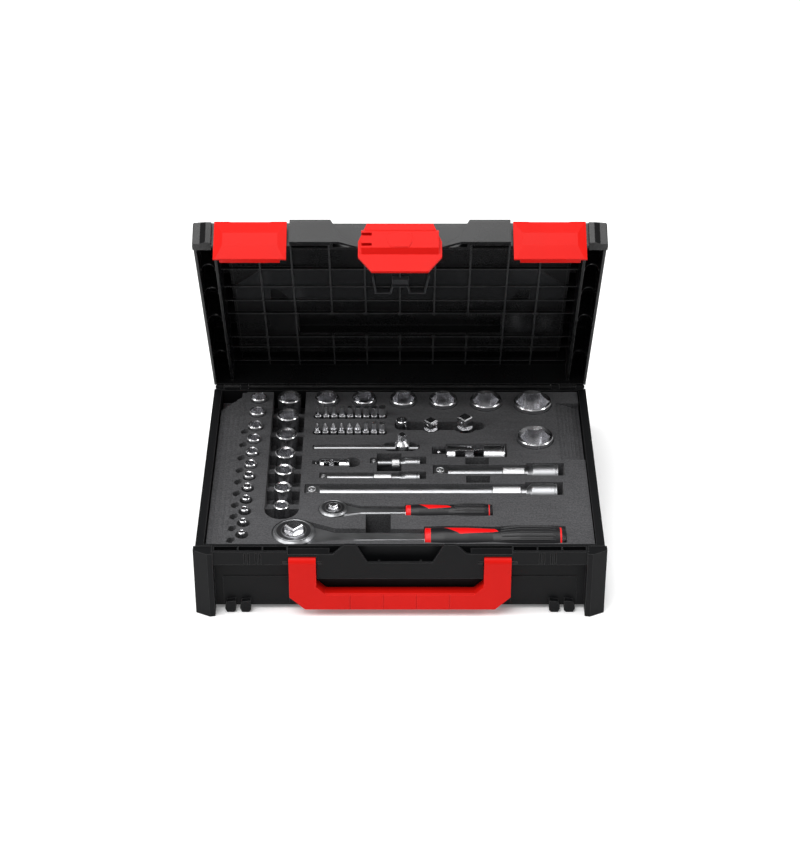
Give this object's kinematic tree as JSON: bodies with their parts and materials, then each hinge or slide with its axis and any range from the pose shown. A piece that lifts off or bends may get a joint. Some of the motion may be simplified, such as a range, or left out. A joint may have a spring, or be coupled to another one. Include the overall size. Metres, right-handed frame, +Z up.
{
  "type": "socket wrench set in case",
  "caption": "Socket wrench set in a stackable hinged case: ratchets, sockets, extension bars, joints, adapters and bits standing in a milled foam insert.",
  "frame": {"origin": "centre of the case's underside", "axes": "+X to the right along the front, +Y to the hinges at the back, +Z up"},
  "size_m": [0.396, 0.3299, 0.3448],
  "materials": {
    "case_plastic": "fine grained black moulded plastic",
    "lid_plastic": "fine grained black moulded plastic, smoother inside",
    "red_plastic": "satin red moulded plastic",
    "red_grip": "satin red",
    "black_grip": "soft black grip",
    "foam": "closed-cell foam, milled",
    "pin_steel": "plain turned pins",
    "bit_steel": "satin tool steel",
    "chrome_steel": "chromed, satin and polished"
  },
  "bodies": {
    "case": {"base_shell": "case_plastic", "hinge_pins": "pin_steel", "handle_pins": "pin_steel", "foam_tray": "foam", "foam_underlay": "foam"},
    "lid": {"lid_shell": "lid_plastic", "lid_plate": "lid_plastic", "latch_pins": "pin_steel"},
    "handle": {"carry_handle": "red_plastic"},
    "left_latch": {"left_latch": "red_plastic"},
    "right_latch": {"right_latch": "red_plastic"},
    "slider": {"coupling_slider": "red_plastic", "slider_retainer": "case_plastic"},
    "large_ratchet": {"large_ratchet_body": "chrome_steel", "large_ratchet_cover": "chrome_steel", "large_ratchet_grip": "black_grip", "large_ratchet_inlays": "red_grip"},
    "large_ratchet_drive": {"large_ratchet_drive": "chrome_steel"},
    "large_ratchet_lever": {"large_ratchet_lever": "chrome_steel"},
    "small_ratchet": {"small_ratchet_body": "chrome_steel", "small_ratchet_cover": "chrome_steel", "small_ratchet_grip": "black_grip", "small_ratchet_inlays": "red_grip"},
    "small_ratchet_drive": {"small_ratchet_drive": "chrome_steel"},
    "small_ratchet_lever": {"small_ratchet_lever": "chrome_steel"},
    "extension_bar_250": {"extension_bar_250": "chrome_steel"},
    "extension_bar_125": {"extension_bar_125": "chrome_steel"},
    "extension_bar_100": {"extension_bar_100": "chrome_steel"},
    "extension_bar_50": {"extension_bar_50": "chrome_steel"},
    "tee_bar": {"tee_bar_rod": "chrome_steel"},
    "tee_bar_slider": {"tee_bar_slider": "chrome_steel"},
    "half_inch_joint": {"half_inch_joint_drive_yoke": "chrome_steel", "half_inch_joint_cross": "chrome_steel"},
    "half_inch_joint_socket_yoke": {"half_inch_joint_socket_yoke": "chrome_steel"},
    "quarter_inch_joint": {"quarter_inch_joint_drive_yoke": "chrome_steel", "quarter_inch_joint_cross": "chrome_steel"},
    "quarter_inch_joint_socket_yoke": {"quarter_inch_joint_socket_yoke": "chrome_steel"},
    "bit_holder": {"bit_holder": "chrome_steel"},
    "step_up_adapter": {"step_up_adapter": "chrome_steel"},
    "step_down_adapter": {"step_down_adapter": "chrome_steel"},
    "hex_key_bits": {"hex_key_bits": "bit_steel"},
    "cross_bits": {"cross_bits": "bit_steel"},
    "star_bits": {"star_bits": "bit_steel"},
    "quarter_inch_sockets": {"quarter_inch_sockets": "chrome_steel"},
    "socket_10": {"socket_10": "chrome_steel"},
    "socket_12": {"socket_12": "chrome_steel"},
    "socket_13": {"socket_13": "chrome_steel"},
    "socket_14": {"socket_14": "chrome_steel"},
    "socket_15": {"socket_15": "chrome_steel"},
    "socket_16": {"socket_16": "chrome_steel"},
    "socket_17": {"socket_17": "chrome_steel"},
    "socket_18": {"socket_18": "chrome_steel"},
    "socket_19": {"socket_19": "chrome_steel"},
    "socket_21": {"socket_21": "chrome_steel"},
    "socket_22": {"socket_22": "chrome_steel"},
    "socket_24": {"socket_24": "chrome_steel"},
    "socket_27": {"socket_27": "chrome_steel"},
    "socket_30": {"socket_30": "chrome_steel"}
  },
  "joints": [
    {"name": "lid_hinge", "type": "hinge", "parent": "case", "child": "lid", "pos_m": [0, 0.144, 0.076], "axis": [-1, 0, 0], "range_deg": [-60, 40]},
    {"name": "handle_hinge", "type": "hinge", "parent": "case", "child": "handle", "pos_m": [0, -0.145, 0.063], "axis": [-1, 0, 0], "range_deg": [0, 90]},
    {"name": "left_latch_hinge", "type": "hinge", "parent": "lid", "child": "left_latch", "pos_m": [-0.1416, 0.01369, 0.33771], "axis": [-1, 0, 0], "range_deg": [0, 55]},
    {"name": "right_latch_hinge", "type": "hinge", "parent": "lid", "child": "right_latch", "pos_m": [0.1416, 0.01369, 0.33771], "axis": [-1, 0, 0], "range_deg": [0, 55]},
    {"name": "slider_travel", "type": "slide", "parent": "lid", "child": "slider", "axis": [0, 0.866, 0.5], "range_m": [0, 0.008]},
    {"name": "large_ratchet_lift", "type": "slide", "parent": "case", "child": "large_ratchet", "axis": [0, 0, 1], "range_m": [0, 0.052]},
    {"name": "large_ratchet_drive_spin", "type": "hinge", "parent": "large_ratchet", "child": "large_ratchet_drive", "pos_m": [-0.1025, -0.1125, 0.066], "axis": [0, 0, 1], "continuous": true},
    {"name": "large_ratchet_lever_swing", "type": "hinge", "parent": "large_ratchet", "child": "large_ratchet_lever", "pos_m": [-0.1025, -0.1125, 0.066], "axis": [0, 0, 1], "range_deg": [-20, 20]},
    {"name": "small_ratchet_lift", "type": "slide", "parent": "case", "child": "small_ratchet", "axis": [0, 0, 1], "range_m": [0, 0.052]},
    {"name": "small_ratchet_drive_spin", "type": "hinge", "parent": "small_ratchet", "child": "small_ratchet_drive", "pos_m": [-0.0653, -0.075, 0.0695], "axis": [0, 0, 1], "continuous": true},
    {"name": "small_ratchet_lever_swing", "type": "hinge", "parent": "small_ratchet", "child": "small_ratchet_lever", "pos_m": [-0.0653, -0.075, 0.0695], "axis": [0, 0, 1], "range_deg": [-20, 20]},
    {"name": "extension_bar_250_lift", "type": "slide", "parent": "case", "child": "extension_bar_250", "axis": [0, 0, 1], "range_m": [0, 0.052]},
    {"name": "extension_bar_125_lift", "type": "slide", "parent": "case", "child": "extension_bar_125", "axis": [0, 0, 1], "range_m": [0, 0.052]},
    {"name": "extension_bar_100_lift", "type": "slide", "parent": "case", "child": "extension_bar_100", "axis": [0, 0, 1], "range_m": [0, 0.052]},
    {"name": "extension_bar_50_lift", "type": "slide", "parent": "case", "child": "extension_bar_50", "axis": [0, 0, 1], "range_m": [0, 0.052]},
    {"name": "tee_bar_lift", "type": "slide", "parent": "case", "child": "tee_bar", "axis": [0, 0, 1], "range_m": [0, 0.052]},
    {"name": "tee_bar_slider_slide", "type": "slide", "parent": "tee_bar", "child": "tee_bar_slider", "axis": [1, 0, 0], "range_m": [-0.012, 0.008]},
    {"name": "half_inch_joint_lift", "type": "slide", "parent": "case", "child": "half_inch_joint", "axis": [0, 0, 1], "range_m": [0, 0.052]},
    {"name": "half_inch_joint_bend", "type": "hinge", "parent": "half_inch_joint", "child": "half_inch_joint_socket_yoke", "pos_m": [0.0705, 0.0275, 0.066], "axis": [0, -1, 0], "range_deg": [0, 30]},
    {"name": "quarter_inch_joint_lift", "type": "slide", "parent": "case", "child": "quarter_inch_joint", "axis": [0, 0, 1], "range_m": [0, 0.052]},
    {"name": "quarter_inch_joint_bend", "type": "hinge", "parent": "quarter_inch_joint", "child": "quarter_inch_joint_socket_yoke", "pos_m": [-0.069, 0.006, 0.07], "axis": [0, -1, 0], "range_deg": [0, 30]},
    {"name": "bit_holder_lift", "type": "slide", "parent": "case", "child": "bit_holder", "axis": [0, 0, 1], "range_m": [0, 0.052]},
    {"name": "step_up_adapter_lift", "type": "slide", "parent": "case", "child": "step_up_adapter", "axis": [0, 0, 1], "range_m": [0, 0.052]},
    {"name": "step_down_adapter_lift", "type": "slide", "parent": "case", "child": "step_down_adapter", "axis": [0, 0, 1], "range_m": [0, 0.052]},
    {"name": "hex_key_bits_lift", "type": "slide", "parent": "case", "child": "hex_key_bits", "axis": [0, 0, 1], "range_m": [0, 0.052]},
    {"name": "cross_bits_lift", "type": "slide", "parent": "case", "child": "cross_bits", "axis": [0, 0, 1], "range_m": [0, 0.052]},
    {"name": "star_bits_lift", "type": "slide", "parent": "case", "child": "star_bits", "axis": [0, 0, 1], "range_m": [0, 0.052]},
    {"name": "quarter_inch_sockets_lift", "type": "slide", "parent": "case", "child": "quarter_inch_sockets", "axis": [0, 0, 1], "range_m": [0, 0.052]},
    {"name": "socket_10_lift", "type": "slide", "parent": "case", "child": "socket_10", "axis": [0, 0, 1], "range_m": [0, 0.052]},
    {"name": "socket_12_lift", "type": "slide", "parent": "case", "child": "socket_12", "axis": [0, 0, 1], "range_m": [0, 0.052]},
    {"name": "socket_13_lift", "type": "slide", "parent": "case", "child": "socket_13", "axis": [0, 0, 1], "range_m": [0, 0.052]},
    {"name": "socket_14_lift", "type": "slide", "parent": "case", "child": "socket_14", "axis": [0, 0, 1], "range_m": [0, 0.052]},
    {"name": "socket_15_lift", "type": "slide", "parent": "case", "child": "socket_15", "axis": [0, 0, 1], "range_m": [0, 0.052]},
    {"name": "socket_16_lift", "type": "slide", "parent": "case", "child": "socket_16", "axis": [0, 0, 1], "range_m": [0, 0.052]},
    {"name": "socket_17_lift", "type": "slide", "parent": "case", "child": "socket_17", "axis": [0, 0, 1], "range_m": [0, 0.052]},
    {"name": "socket_18_lift", "type": "slide", "parent": "case", "child": "socket_18", "axis": [0, 0, 1], "range_m": [0, 0.052]},
    {"name": "socket_19_lift", "type": "slide", "parent": "case", "child": "socket_19", "axis": [0, 0, 1], "range_m": [0, 0.052]},
    {"name": "socket_21_lift", "type": "slide", "parent": "case", "child": "socket_21", "axis": [0, 0, 1], "range_m": [0, 0.052]},
    {"name": "socket_22_lift", "type": "slide", "parent": "case", "child": "socket_22", "axis": [0, 0, 1], "range_m": [0, 0.052]},
    {"name": "socket_24_lift", "type": "slide", "parent": "case", "child": "socket_24", "axis": [0, 0, 1], "range_m": [0, 0.052]},
    {"name": "socket_27_lift", "type": "slide", "parent": "case", "child": "socket_27", "axis": [0, 0, 1], "range_m": [0, 0.052]},
    {"name": "socket_30_lift", "type": "slide", "parent": "case", "child": "socket_30", "axis": [0, 0, 1], "range_m": [0, 0.052]}
  ]
}
